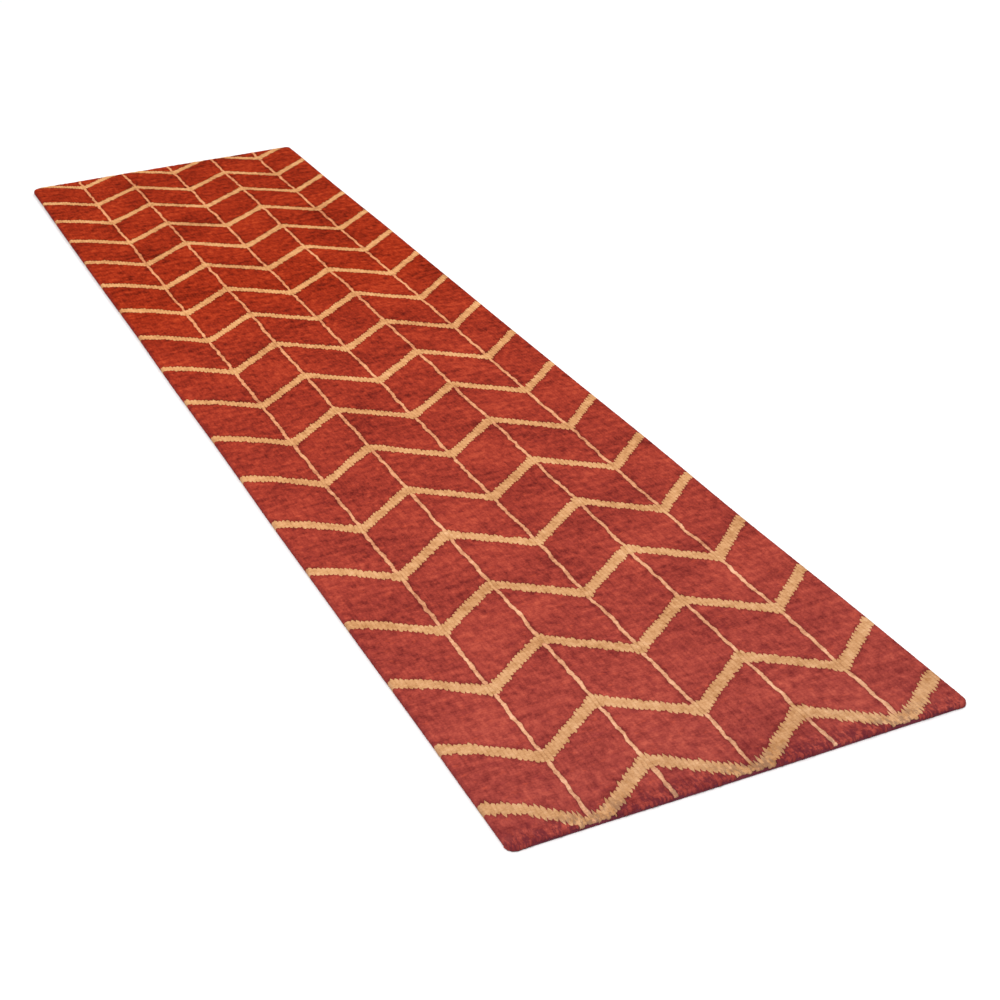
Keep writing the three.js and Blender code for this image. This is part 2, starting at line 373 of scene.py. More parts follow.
def follow_lines(cols, y):
    """How far the pile is shifted sideways with the lines near it."""
    shift = np.zeros_like(y)
    for index, line_x in enumerate(LINE_X):
        share = smooth(BESIDE_LINE, LINE_ROW / 2, np.abs(cols.x - line_x))
        near = np.flatnonzero(share > 0)
        along = y[:, near]
        wander = np.interp(along, kink_places, kinks[index]) + WANDER * wanders[index](0 * along, along)
        side = np.clip((cols.x[near] - line_x) / (LINE_ROW / 2), -1, 1)
        bulge = np.interp(along, bulge_places, bulges[index]) * side
        shift[:, near] += share[near] * wander + share[near] ** 4 * bulge
    return shift


# ---- Band edges

def point_scale(band):
    at_ends, halfway = POINT_SCALE
    return at_ends + (halfway - at_ends) * math.sin(math.pi * band / (BAND_COUNT - 1))


def band_level(band):
    """Where a band's zigzag has its zero height, along the rug."""
    if band < BAND_COUNT - 1:
        return node_box(f"cream_band_{band + 1:02d}")[1][1] - point_scale(band) * HIGH_POINT - BAND_DEPTH / 2
    return node_box("cream_far_1")[0][1] - point_scale(band) * LOW_POINT + BAND_DEPTH / 2


def zigzag(x, band):
    """The middle of a band at places across the rug, above its level."""
    places = [-HALF_WIDTH, LEFT_SHOULDER_FROM_EDGE - HALF_WIDTH, *LINE_X, HALF_WIDTH]
    heights = [LEFT_END_POINT, LEFT_SHOULDER]
    heights += [LOW_POINT if index % 2 == 0 else HIGH_POINT for index in range(LINE_COUNT)]
    heights.append(HIGH_POINT)
    if band == 0:
        heights = [height + shift for height, shift in zip(heights, FIRST_BAND_SHIFTS)]
    sharp = [np.interp(x + side * BLUNT, places, heights) for side in (-1, 1)]
    return point_scale(band) * sum(sharp) / 2


def near_to(distance, reach):
    return np.exp(-((distance / reach) ** 2))


def band_edges():
    """Edges of every band, [band, lower or upper, column], in which each row ends in a point."""
    chance = np.random.default_rng(21)
    row_middle = (row_edges[:-1] + row_edges[1:]) / 2
    middle = row_middle[columns.row]
    from_line = np.min([np.abs(middle - x) for x in LINE_X], axis=0)
    from_low_point = np.min([np.abs(row_middle - x) for x in LINE_X[::2]], axis=0)

    def waves(seed, cell, size):
        return Noise(seed, cell, 2 * HALF_LENGTH)(middle, 0) * size

    edges = np.zeros((BAND_COUNT, 2, COLUMN_COUNT))
    for band in range(BAND_COUNT):
        even = BAND_DEPTH / 2 - SOLID_INSET + SOLID_CHANGE * (1 - 2 * band / BAND_COUNT)
        half = even + POINT_SWELL[1] * near_to(from_line, POINT_SWELL[0])
        wander = waves(100 + band, *BAND_WANDER)
        width = waves(160 + band, *BAND_CHANGE)
        for side, sign in ((0, -1), (1, 1)):
            lumps = waves(200 + 2 * band + side, *EDGE_LUMPS)
            scatter = np.clip(chance.normal(0, TOOTH_SCATTER, ROW_COUNT), -TOOTH_MAX, TOOTH_MAX)
            tooth = chance.uniform(*TOOTH, ROW_COUNT)
            if band == 0:
                tooth = tooth * FIRST_BAND_TOOTH * (1 + TIP_TOOTH[1] * near_to(from_low_point, TIP_TOOTH[0]))
            reach = half + width + lumps + scatter[columns.row] + tooth[columns.row] * columns.point
            edges[band, side] = band_level(band) + zigzag(middle, band) + wander + sign * reach
    return edges


# ---- Relief of the pile

FAR = 1e3  # the distance to a tuft or a seam that isn't there
CELL_MARGIN = 4
tuft_chance = np.random.default_rng(31)
TUFT_CELLS = (ROW_COUNT + 2 * CELL_MARGIN, int(2 * HALF_LENGTH / TUFT_PITCH) + 3 * CELL_MARGIN)
tuft_x = tuft_chance.uniform(0.2, 0.8, TUFT_CELLS)
tuft_y = tuft_chance.uniform(0.12, 0.88, TUFT_CELLS)
tuft_height = tuft_chance.uniform(-1, 1, TUFT_CELLS)
tuft_shade = tuft_chance.normal(0, 1, TUFT_CELLS)


def tufts(across, y):
    """Relief of the tufts, the nearest one's shade, and how deep between two a point lies, 0 to 1."""
    along = (y + HALF_LENGTH) / TUFT_PITCH + CELL_MARGIN
    across, along = np.broadcast_arrays(across + CELL_MARGIN, along)
    column, step = np.floor(across).astype(int), np.floor(along).astype(int)
    nearest, second = np.full((2, *along.shape), FAR)
    height, shade = np.zeros((2, *along.shape))
    for i in (-1, 0, 1):
        for j in (-1, 0, 1):
            cell = np.clip(column + i, 0, TUFT_CELLS[0] - 1), np.clip(step + j, 0, TUFT_CELLS[1] - 1)
            off_x = (column + i + tuft_x[cell] - across) * ROW_PITCH
            off_y = (step + j + tuft_y[cell] - along) * TUFT_PITCH
            far = np.hypot(off_x, off_y)
            closer = far < nearest
            second = np.where(closer, nearest, np.minimum(second, far))
            height = np.where(closer, tuft_height[cell], height)
            shade = np.where(closer, tuft_shade[cell], shade)
            nearest = np.where(closer, far, nearest)
    border = smooth(0, TUFT_BORDER, second - nearest)
    valley = (2 * (across - np.floor(across)) - 1) ** 2
    relief = -TUFT_DEPTH * (1 - border) - ROW_DEPTH * valley + TUFT_SCATTER * height * border
    return relief, shade, 1 - border


# ---- Pieces of pile

CALM_REACH = 7  # columns to each side that even out an edge's teeth
FEWEST_STEPS = 4


def calm(edge):
    window = np.ones(2 * CALM_REACH + 1) / (2 * CALM_REACH + 1)
    return np.convolve(np.pad(edge, CALM_REACH, mode="edge"), window, "valid")


def along_rows(low, high, settle):
    """Places along the rug, [step, column], that follow both edges and run even in between."""
    steps = max(FEWEST_STEPS, math.ceil((high - low).max() / STEP))
    share = np.linspace(0, 1, steps + 1)[:, None]
    calm_low, calm_high = calm(low), calm(high)
    even = calm_low + share * (calm_high - calm_low)
    return even + (low - calm_low) * (1 - share) ** settle + (high - calm_high) * share**settle


def down_face(profile):
    """How far down the hanging face each of its points is."""
    steps = np.diff(np.vstack([(0, CROWN), profile]), axis=0)
    return np.cumsum(np.hypot(*steps.T))


SEAM, SIDE, END = 0, 1, 2  # what an edge point is part of


class Pile:
    """A closed body of pile between two edges across the rug. Its rim hangs over at the rug's own edges."""

    bottom = PILE_BOTTOM
    under = OVER_ROLL  # its lower face over an end roll
    inset = ROLL_INSET

    def __init__(self, cols, low, high, low_end, high_end, hang, settle=1, seam_painted_shade=0):
        self.cols, self.low_end, self.high_end = cols, low_end, high_end
        self.hang, self.seam_painted_shade = hang, seam_painted_shade
        self.y = along_rows(low, high, settle)
        self.rows, self.count = self.y.shape
        self.numbers = np.arange(self.y.size).reshape(self.y.shape)
        from_low, from_high = np.where(low_end, FAR, self.y - low), np.where(high_end, FAR, high - self.y)
        self.lay_top(np.minimum(from_low, from_high))
        self.total = self.y.size
        self.points, self.values = [self.top], [self.top_values]

    def lay_top(self, from_seam):
        cols, y = self.cols, self.y
        relief, shade, gap_shade = tufts(cols.across, y)
        relief = relief + SWELL * swell(cols.x, y) + RIPPLE * ripple(cols.x, y)
        relief = relief - SEAM_DIP * near_to(from_seam, SEAM_DIP_WIDTH)
        bow = LINE_BOW * np.sin(math.pi * (y / (2 * HALF_LENGTH) + 0.5)) * self.bow_share()
        loose = (DRIFT * drift(cols.x, y) + WRIGGLE * wriggle(cols.x, y)) * cols.loose
        x = cols.x + bow + loose + follow_lines(cols, y)
        z = self.shape_top(y, CROWN + relief)
        self.top = rows_of(x, y, z)
        from_line = np.min([np.abs(np.abs(cols.x - at) - LINE_ROW / 2) for at in LINE_X], axis=0)
        # Painted shade: darker between tufts, and for the red also along its seams and beside the lines.
        gap_shade = gap_shade + self.seam_painted_shade * near_to(np.minimum(from_seam, from_line), SEAM_PAINTED_SHADE_WIDTH)
        # The wool is made darker at a side's shoulder.
        edge_dark_and_shade = TOP_EDGE_DARK * smooth(SHOULDER_X - TOP_EDGE_DARK_WIDTH, SHOULDER_X, np.abs(cols.x)) + 0 * y
        self.top_values = rows_of(shade, gap_shade, edge_dark_and_shade, self.in_band(y))

    def bow_share(self):
        outer_strip = SHOULDER_X - max(np.abs(LINE_X)) - LINE_ROW / 2
        return np.clip((SHOULDER_X - np.abs(self.cols.x)) / outer_strip, 0, 1)

    def shape_top(self, y, z):
        """The groove that a line stands in, which climbs over the end rolls."""
        low, high = LINE_BOTTOM - WEB_DROP, self.under + WEB_COVER
        web = low + (high - low) * smooth(*WEB_RAMP, HALF_LENGTH - np.abs(y))
        return np.where(self.cols.line >= 0, web, z)

    def in_band(self, y):
        return np.zeros_like(y)

    def add(self, points, values):
        """Take up points, [place, step down, xyz], and values, and give back their numbers."""
        numbers = self.total + np.arange(points.size // 3).reshape(points.shape[:2])
        self.points.append(points.reshape(-1, 3))
        self.values.append(values.reshape(-1, len(VALUE_NAMES)))
        self.total += numbers.size
        return numbers

    def under_seam(self, top, values, faces_out):
        """Two points under each point of a seam, brought inside the end rolls."""
        x, y = inside(top[:, 0], top[:, 1], self.inset + np.where(faces_out, *SEAM_INSET))
        over_roll = np.hypot(x - top[:, 0], y - top[:, 1]) > TINY
        upper = np.where(over_roll, self.under, (top[:, 2] + self.bottom) / 2)
        points = np.stack([x, y, upper, x, y, np.full(len(x), self.bottom)], axis=1)
        return points.reshape(-1, 2, 3), np.repeat(values[:, None], 2, axis=1)

    def face(self, top, values, profile, outward, across, along, base, hang, stick):
        """Points down the hanging face: profile gives the distance out and the height of each."""
        reach, height = profile[:, 0], profile[:, 1]
        drop = (CROWN - height) / (CROWN - FACE_LOW)
        slope = np.arctan2(np.gradient(reach), -np.gradient(height))
        relief, shade, gap_shade = tufts(across, along)
        out = reach * stick[:, None] + relief * np.cos(slope) * stick[:, None]
        z = base[:, None] - drop * (base - hang)[:, None]
        z = z + relief * np.sin(slope) * np.where(drop < 0.5, 1, 0)
        x, y = top[:, :1] + outward[:, :1] * out, top[:, 1:2] + outward[:, 1:] * out
        points = np.stack([x, y, z], axis=2)
        made = np.repeat(values[:, None], len(profile), axis=1)
        # The tufts' random tone, and painted shade between them, down the hanging face.
        made[:, :, SHADE], made[:, :, GAP_SHADE] = shade, gap_shade
        return points, made

    def hang_side(self, top, values, column):
        """The face at a long side, and back inside it down to the pile's bottom."""
        side = np.sign(self.cols.x[column])
        across = self.cols.across[column][:, None] + side[:, None] * down_face(SIDE_FACE) / ROW_PITCH
        outward = np.column_stack([side, 0 * side])
        shape = np.ones((3, len(top))) * [[CROWN], [FACE_LOW], [1]]
        points, made = self.face(top, values, SIDE_FACE, outward, across, top[:, 1:2], *shape)
        # Darker from the top to the bottom of the side face.
        made[:, :, EDGE_DARK_AND_SHADE] = np.linspace(*SIDE_FACE_DARK, FACE_COUNT)
        back_x = side[:, None] * (SHOULDER_X + SIDE_RETURN[:, 0])
        back = np.stack([back_x, top[:, 1:2] + 0 * back_x, SIDE_RETURN[:, 1] + 0 * back_x], axis=2)
        made = np.concatenate([made, made[:, -back.shape[1]:]], axis=1)
        return np.concatenate([points, back], axis=1), made

    def hang_end(self, top, values, column, end):
        """The face at an end, down in front of the roll, then back over it and down to the canvas."""
        x = self.cols.x[column]
        radius = radius_at(x, end)
        turn = np.clip((np.abs(x) - HALF_WIDTH + radius) / (radius - SHOULDER), 0, 1)
        outward = np.column_stack([np.sign(x) * turn, end * np.sqrt(1 - turn**2)])
        across = self.cols.across[column][:, None]
        along = top[:, 1:2] + end[:, None] * down_face(END_FACE)
        groove = self.cols.line[column] >= 0
        base = np.where(groove, top[:, 2], CROWN)
        hang = np.where(groove, self.under + GROOVE_LIP, self.hang[column])
        stick = np.where(groove, GROOVE_REACH, 1)
        points, made = self.face(top, values, END_FACE, outward, across, along, base, hang, stick)
        # Painted shade: the end face darkens downward, where the hanging pile is in shadow, less towards the
        # corners.
        made[:, :, EDGE_DARK_AND_SHADE] = np.linspace(*END_FACE_SHADE, FACE_COUNT) * smooth(1, 0.3, turn)[:, None]
        back = []
        for reach, z in zip(END_RETURN, (hang + np.where(groove, *BACK_RISE), self.under)):
            out = (reach * stick)[:, None]
            back.append(np.column_stack([top[:, :2] + outward * out, z + 0 * hang]))
        further_in = inside(back[0][:, 0], back[0][:, 1], self.inset)
        back += [np.column_stack([*further_in, z + 0 * hang]) for z in (self.under, self.bottom)]
        made = np.concatenate([made, made[:, -len(back):]], axis=1)
        return np.concatenate([points, np.stack(back, axis=1)], axis=1), made

    def chains(self, row, column, kinds):
        """Numbers of the points that lead down from each point of an edge of the grid."""
        row, column, kinds = np.broadcast_arrays(row, column, kinds)
        found = [None] * len(kinds)
        end = np.sign(self.y[row, column])
        outer = (row == 0) & (end < 0) | (row == self.rows - 1) & (end > 0)
        for kind in (SEAM, SIDE, END):
            chosen = np.flatnonzero(kinds == kind)
            here = self.numbers[row[chosen], column[chosen]]
            given = (self.top[here], self.top_values[here])
            if kind == SEAM:
                made = self.under_seam(*given, outer[chosen])
            elif kind == SIDE:
                made = self.hang_side(*given, column[chosen])
            else:
                made = self.hang_end(*given, column[chosen], end[chosen])
            for place, chain in zip(chosen, self.add(*made)):
                found[place] = chain
        return found

    def kinds_of(self, at_end):
        """What each point of an edge is part of: a seam, a side or an end."""
        kinds = np.where(at_end, END, SEAM)
        for place in (0, -1):
            if self.at_side(place) and not at_end[place]:
                kinds[place] = SIDE
        return kinds

    def at_side(self, place):
        return abs(self.cols.x[place]) > SHOULDER_X - TINY

    def build(self, name):
        """Close the body round its rim and below: soft quads are smooth, hard ones and polygons are flat."""
        places, rows = np.arange(self.count), np.arange(1, self.rows - 1)
        low = self.chains(0, places, self.kinds_of(self.low_end))
        high = self.chains(self.rows - 1, places, self.kinds_of(self.high_end))
        left, right = [self.chains(rows, at, SIDE if self.at_side(at) else SEAM) for at in (0, -1)]

        grid, line = self.numbers, self.cols.line
        top = grid_quads(grid)
        groove_wall = np.tile(line[:-1] != line[1:], self.rows - 1)
        soft, hard, polygons = [top[~groove_wall]], [top[groove_wall]], []
        rim_tops = [*grid[0], *grid[1:-1, -1], *grid[-1, ::-1], *grid[-2:0:-1, 0]]
        rim = [*low, *right, *high[::-1], *left[::-1]]
        for place, (rim_top, chain) in enumerate(zip(rim_tops, rim)):
            after = (place + 1) % len(rim)
            here, there = [rim_top, *chain], [rim_tops[after], *rim[after]]
            if len(here) != len(there):
                polygons.append([*here, *there[::-1]])
                continue
            quads = ribbon(here, there)[:, ::-1]
            face = FACE_COUNT if len(chain) > 2 else 0
            soft.append(quads[:face])
            hard.append(quads[face:])
        lows, highs, lefts, rights = [[chain[-1] for chain in side] for side in (low, high, left, right)]
        hard.append(ribbon(lows[1:-1], highs[1:-1]))
        polygons.append([lows[0], *lefts, highs[0], highs[1], lows[1]])
        polygons.append([lows[-2], highs[-2], highs[-1], *rights[::-1], lows[-1]])
        points, values, soft, hard = map(np.concatenate, (self.points, self.values, soft, hard))
        return make_mesh(name, points, soft, hard, polygons, values)


class Line(Pile):
    """One line's row of tufts, which stands in the grooves of the pieces that it crosses."""

    bottom = LINE_BOTTOM + 0.25
    under = OVER_ROLL + 0.35
    inset = WEB_RAMP[0] + 0.4

    def __init__(self, index, lows, highs, hang):
        self.lows, self.highs = lows, highs
        count = len(LINE_SPOTS)
        x = LINE_X[index] + (np.array(LINE_SPOTS) - 0.5) * LINE_ROW
        cols = Columns(x, [line_rows[index]] * count, LINE_SPOTS, [-1] * count)
        ends = [end * end_reach(x, end, SHOULDER) for end in (-1, 1)]
        always = np.ones(count, bool)
        super().__init__(cols, *ends, always, always, np.full(count, hang))

    def bow_share(self):
        return np.ones(self.count)

    def shape_top(self, y, z):
        return z

    def in_band(self, y):
        within = np.zeros_like(y)
        for low, high in zip(self.lows, self.highs):
            past_low = smooth(-BAND_BLEND, BAND_BLEND, y - low)
            within = np.maximum(within, past_low * smooth(BAND_BLEND, -BAND_BLEND, y - high))
        return within


# ---- Materials

class Shader:
    """A material with a Principled BSDF, and short ways to add nodes to it."""

    def __init__(self, name, roughness, sheen=0.0, sheen_tint=(1, 1, 1, 1), specular=0.3):
        self.material = bpy.data.materials.new(name)
        self.material.use_nodes = True
        self.tree = self.material.node_tree
        self.bsdf = self.tree.nodes["Principled BSDF"]
        self.fill(self.bsdf, Roughness=roughness, Sheen_Weight=sheen, Sheen_Roughness=0.5)
        self.fill(self.bsdf, Sheen_Tint=sheen_tint, Specular_IOR_Level=specular)
        self.place = self.node("TexCoord").outputs["Object"]

    def fill(self, node, **inputs):
        """Set a node's inputs by name, where an underscore stands for a space."""
        for key, value in inputs.items():
            self.set(node.inputs[key.replace("_", " ")], value)
        return node

    def node(self, kind, **inputs):
        return self.fill(self.tree.nodes.new(f"ShaderNode{kind}"), **inputs)

    def set(self, socket, value):
        if isinstance(value, bpy.types.NodeSocket):
            self.tree.links.new(value, socket)
        else:
            socket.default_value = value

    def noise(self, cell, detail=2.0, roughness=0.5):
        """Noise from 0 to 1 in cells of cell = (x, y, z) millimetres."""
        placed = self.node("Mapping", Vector=self.place, Scale=[1 / (MM * size) for size in cell])
        made = self.node("TexNoise", Vector=placed.outputs[0], Scale=1, Detail=detail, Roughness=roughness)
        return made.outputs["Fac"]

    def math(self, operation, *values):
        made = self.node("Math")
        made.operation = operation
        for socket, value in zip(made.inputs, values):
            self.set(socket, value)
        return made.outputs[0]

    def sum(self, *parts, base=0.0):
        """The base and each part, which is (value, share)."""
        for value, share in parts:
            base = self.math("MULTIPLY_ADD", value, share, base)
        return base

    def ramp(self, value, places, colours):
        made = self.node("ValToRGB", Fac=value)
        elements = made.color_ramp.elements
        while len(elements) < len(places):
            elements.new(0.5)
        for element, place, colour in zip(elements, places, colours):
            element.position = place
            element.color = (*colour, 1)
        return made.outputs["Color"]

    def shades(self, value, spread, *colours):
        return self.ramp(value, (0.5 - spread, 0.5, 0.5 + spread), colours)

    def range(self, value, low, high, to_low=0.0, to_high=1.0, kind="SMOOTHSTEP"):
        made = self.node("MapRange", Value=value, From_Min=low, From_Max=high, To_Min=to_low, To_Max=to_high)
        made.interpolation_type = kind
        return made.outputs["Result"]

    def mix(self, share, first, second):
        made = self.node("Mix")
        made.data_type = "RGBA"
        self.set(made.inputs[0], share)
        for socket, value in ((made.inputs[6], first), (made.inputs[7], second)):
            self.set(socket, (*value, 1) if isinstance(value, tuple) else value)
        return made.outputs[2]

    def point_value(self, name):
        made = self.node("Attribute")
        made.attribute_name = name
        return made.outputs["Fac"]

    def coordinate(self, axis):
        return self.node("SeparateXYZ", Vector=self.place).outputs[axis]

    def bump(self, height, distance, strength):
        made = self.node("Bump", Height=height, Distance=distance * MM, Strength=strength)
        self.fill(self.bsdf, Normal=made.outputs["Normal"])

    def colour(self, value):
        self.fill(self.bsdf, Base_Color=value)
        return self.material


def pile_tone(shader, contrast, streaks):
    """How light the wool is at a point, about 0.5 in the middle."""
    parts = [
        (shader.noise((1.8, 3.0, 2), 1.5, 0.6), 0.28),  # fibres
        (shader.noise((3.4, 24, 8), 2.0, 0.55), 0.3),  # the pile's lean
        (shader.noise((11, 18, 400), 2.0, 0.55), 0.9),  # blotches
        (shader.noise((54, 15, 400), 2.5, 0.58), streaks),  # bars of uneven dye
        (shader.noise((150, 120, 400), 1.5, 0.5), 0.65),  # clouds
    ]
    parts = [(shader.math("SUBTRACT", noise, 0.5), share) for noise, share in parts]
    # Painted shade between tufts and along seams, partly the real darker colour of wool deep in the pile.
    parts += [(shader.point_value("shade"), 0.048), (shader.point_value("gap_shade"), -0.16)]
    return shader.sum(*[(value, share * contrast) for value, share in parts], base=0.5)


def paint_end_shade(shader, colour, dark, amount):
    """Painted shade in darker specks at the near end, where the pile's tips splay apart and curl over, and
    the darkening given down the hanging faces.
    """
    y = shader.coordinate("Y")
    speck = shader.range(shader.noise((4.0, 12, 20), 2.0, 0.6), 0.44, 0.58)
    close = shader.range(y, (-HALF_LENGTH + 2) * MM, (-HALF_LENGTH + 44) * MM, 0.85, 0.0)
    zone = shader.range(y, (-HALF_LENGTH + 20) * MM, (-HALF_LENGTH + 170) * MM, 0.2, 0.0)
    share = shader.math("MULTIPLY", speck, shader.math("ADD", close, zone))
    # The darkening of the shoulders and the hanging faces, which is painted shade at the ends.
    share = shader.math("MAXIMUM", share, shader.math("MULTIPLY", shader.point_value("edge_dark_and_shade"), 0.8))
    return shader.mix(shader.math("MULTIPLY", share, amount), colour, dark)


def along_rug(shader, near, far):
    """Mix from the near end's colour to the far half's."""
    return shader.mix(shader.range(shader.coordinate("Y"), -1.45, 0.5, kind="LINEAR"), near, far)


def red_wool():
    shader = Shader("red_wool", 1.0, 0.03, (0.8, 0.25, 0.15, 1), specular=0.0)
    tone = pile_tone(shader, 0.93, 0.7)
    near = shader.shades(tone, 0.4, (0.15, 0.019, 0.018), (0.3, 0.049, 0.0375), (0.46, 0.09, 0.06))
    far = shader.shades(tone, 0.4, (0.1, 0.007, 0.003), (0.32, 0.0255, 0.0078), (0.52, 0.062, 0.018))
    colour = along_rug(shader, near, far)
    plum = shader.range(shader.noise((26, 13, 400), 2.5, 0.65), 0.52, 0.74, 0.0, 0.3)
    colour = shader.mix(plum, colour, along_rug(shader, (0.2, 0.024, 0.03), (0.17, 0.015, 0.012)))
    ember = shader.range(shader.noise((15, 9, 300), 2.0, 0.6), 0.57, 0.75, 0.0, 0.4)
    colour = shader.mix(ember, colour, along_rug(shader, (0.46, 0.072, 0.04), (0.48, 0.05, 0.014)))
    # The near end's painted shade, and the darkening down the faces, go towards this darker colour.
    return shader.colour(paint_end_shade(shader, colour, (0.095, 0.014, 0.022), 0.72))


def cream_tones(shader, tone):
    near = shader.shades(tone, 0.35, (0.34, 0.15, 0.055), (0.51, 0.272, 0.13), (0.65, 0.39, 0.215))
    far = shader.shades(tone, 0.35, (0.42, 0.16, 0.06), (0.665, 0.322, 0.125), (0.81, 0.455, 0.22))
    return along_rug(shader, near, far)


def cream_wool():
    shader = Shader("cream_wool", 1.0, 0.03, (1.0, 0.8, 0.55, 1), specular=0.0)
    colour = cream_tones(shader, pile_tone(shader, 0.8, 0.3))
    # The near end's painted shade, and the darkening down the faces, go towards this darker colour.
    return shader.colour(paint_end_shade(shader, colour, (0.19, 0.1, 0.065), 0.68))


def line_wool():
    """The lines are pinker than the bands, except where they cross one."""
    shader = Shader("line_wool", 1.0, 0.03, (1.0, 0.8, 0.6, 1), specular=0.0)
    tone = pile_tone(shader, 1.0, 0.3)
    near = shader.shades(tone, 0.35, (0.36, 0.14, 0.075), (0.595, 0.302, 0.168), (0.76, 0.45, 0.29))
    far = shader.shades(tone, 0.35, (0.44, 0.13, 0.057), (0.705, 0.282, 0.122), (0.84, 0.4, 0.2))
    own = along_rug(shader, near, far)
    colour = shader.mix(shader.point_value("in_band"), own, cream_tones(shader, tone))
    # The near end's painted shade, and the darkening down the faces, go towards this darker colour.
    return shader.colour(paint_end_shade(shader, colour, (0.2, 0.1, 0.065), 0.6))


def edge_wool():
    shader = Shader("edge_wool", 0.95, 0.06, (0.8, 0.4, 0.4, 1), specular=0.08)
    fibre = shader.noise((1.2, 1.2, 0.5), 2.0, 0.6)
    patch = shader.noise((40, 40, 40), 1.0)
    colours = (0.05, 0.008, 0.014), (0.11, 0.016, 0.028), (0.2, 0.035, 0.045)
    return shader.colour(shader.ramp(shader.sum((fibre, 0.6), (patch, 0.5)), (0.25, 0.55, 0.85), colours))


def weave(shader, pitch):
    """Height of a plain weave, from 0 to 1, with threads pitch millimetres apart."""
    turn = math.pi / (pitch * MM)
    waves = [shader.math("SINE", shader.math("MULTIPLY", shader.coordinate(axis), turn)) for axis in "XY"]
    return shader.sum((shader.math("MULTIPLY", *waves), 0.5), base=0.5)


def woven(name, pitch, *colours):
    shader = Shader(name, 0.95, 0.15)
    threads = weave(shader, pitch)
    slub = shader.noise((pitch * 9, pitch * 0.8, 20), 2.0)
    cross = shader.noise((pitch * 0.8, pitch * 9, 20), 2.0)
    shader.bump(threads, pitch * 0.25, 0.7)
    tone = shader.sum((slub, 0.35), (threads, 0.35), (cross, 0.35))
    return shader.colour(shader.ramp(tone, (0.2, 0.5, 0.85), colours))


def latex():
    shader = Shader("latex", 0.55, specular=0.4)
    lumps = shader.noise((9, 9, 9), 3.0, 0.55)
    age = shader.noise((120, 120, 120), 1.0)
    shader.bump(lumps, 0.5, 0.6)
    colours = (0.5, 0.44, 0.3), (0.62, 0.57, 0.42), (0.72, 0.68, 0.55)
    return shader.colour(shader.ramp(shader.sum((lumps, 0.6), (age, 0.4)), (0.3, 0.5, 0.75), colours))


# ---- Laying the pile

def runs(flags):
    """First and last numbers of each unbroken run of true flags."""
    changes = np.flatnonzero(np.diff(np.concatenate([[0], flags.astype(int), [0]])))
    return list(zip(changes[::2], changes[1::2] - 1))


def pile_end(end, reach):
    """Where the pile's top stops at one end of the rug, row by row."""
    straight = HALF_WIDTH - radius_at(columns.x, end)
    held = smooth(straight, straight - CORNER_HELD, np.abs(columns.x))
    uneven = (reach[columns.row] + ROW_POINT * columns.point) * held
    return end * (end_reach(columns.x, end, SHOULDER) + uneven)


def hang_heights(chance, lowest, highest, between):
    hang = chance.uniform(lowest, highest, ROW_COUNT)[columns.row] + between * (1 - columns.point)
    from_side = HALF_WIDTH - np.abs(columns.x)
    return hang + (FACE_LOW - hang) * smooth(*CORNER_HANG, from_side)


def cut_off(edges, near_end, far_end):
    """Cut the outer bands off at the rug's ends, and say where red or cream reaches them."""
    outline, half = end_reach(columns.x, 1), BAND_DEPTH / 2
    first_middle = band_level(0) + zigzag(columns.x, 0)
    last_middle = band_level(BAND_COUNT - 1) + zigzag(columns.x, BAND_COUNT - 1)
    red_near = first_middle - half + outline > LEAST_PILE
    cream_far = outline - (last_middle - half) > LEAST_PILE
    red_far = outline - (last_middle + half) > LEAST_PILE
    first, last = edges[0], edges[-1]
    first[0] = np.where(red_near, np.maximum(first[0], near_end + SHORTEST_PILE), near_end - SEAM_GAP)
    short_of_end, past_end = far_end - SHORTEST_PILE, far_end + SEAM_GAP
    last[0] = np.where(cream_far, np.minimum(last[0], short_of_end), past_end)
    last[1] = np.where(red_far, np.minimum(last[1], short_of_end), past_end)
    last[1] = np.minimum(np.maximum(last[1], last[0] + 3 * SHORTEST_PILE), past_end)
    return red_near, cream_far, red_far


def add_pile(name, wool, span, low, high, low_end, high_end, settle=1):
    """A piece of pile over a span of columns. The flags say where its edges are the rug's end."""
    material, slot, hang, seam_painted_shade = wool
    low, high = low + SEAM_GAP * ~low_end, high - SEAM_GAP * ~high_end
    parts = [value[span[0]:span[1] + 1] for value in (low, high, low_end, high_end, hang)]
    piece = Pile(columns.part(*span), *parts, settle, seam_painted_shade).build(f"{name}_pile")
    add_piece(piece, material, slot, name)


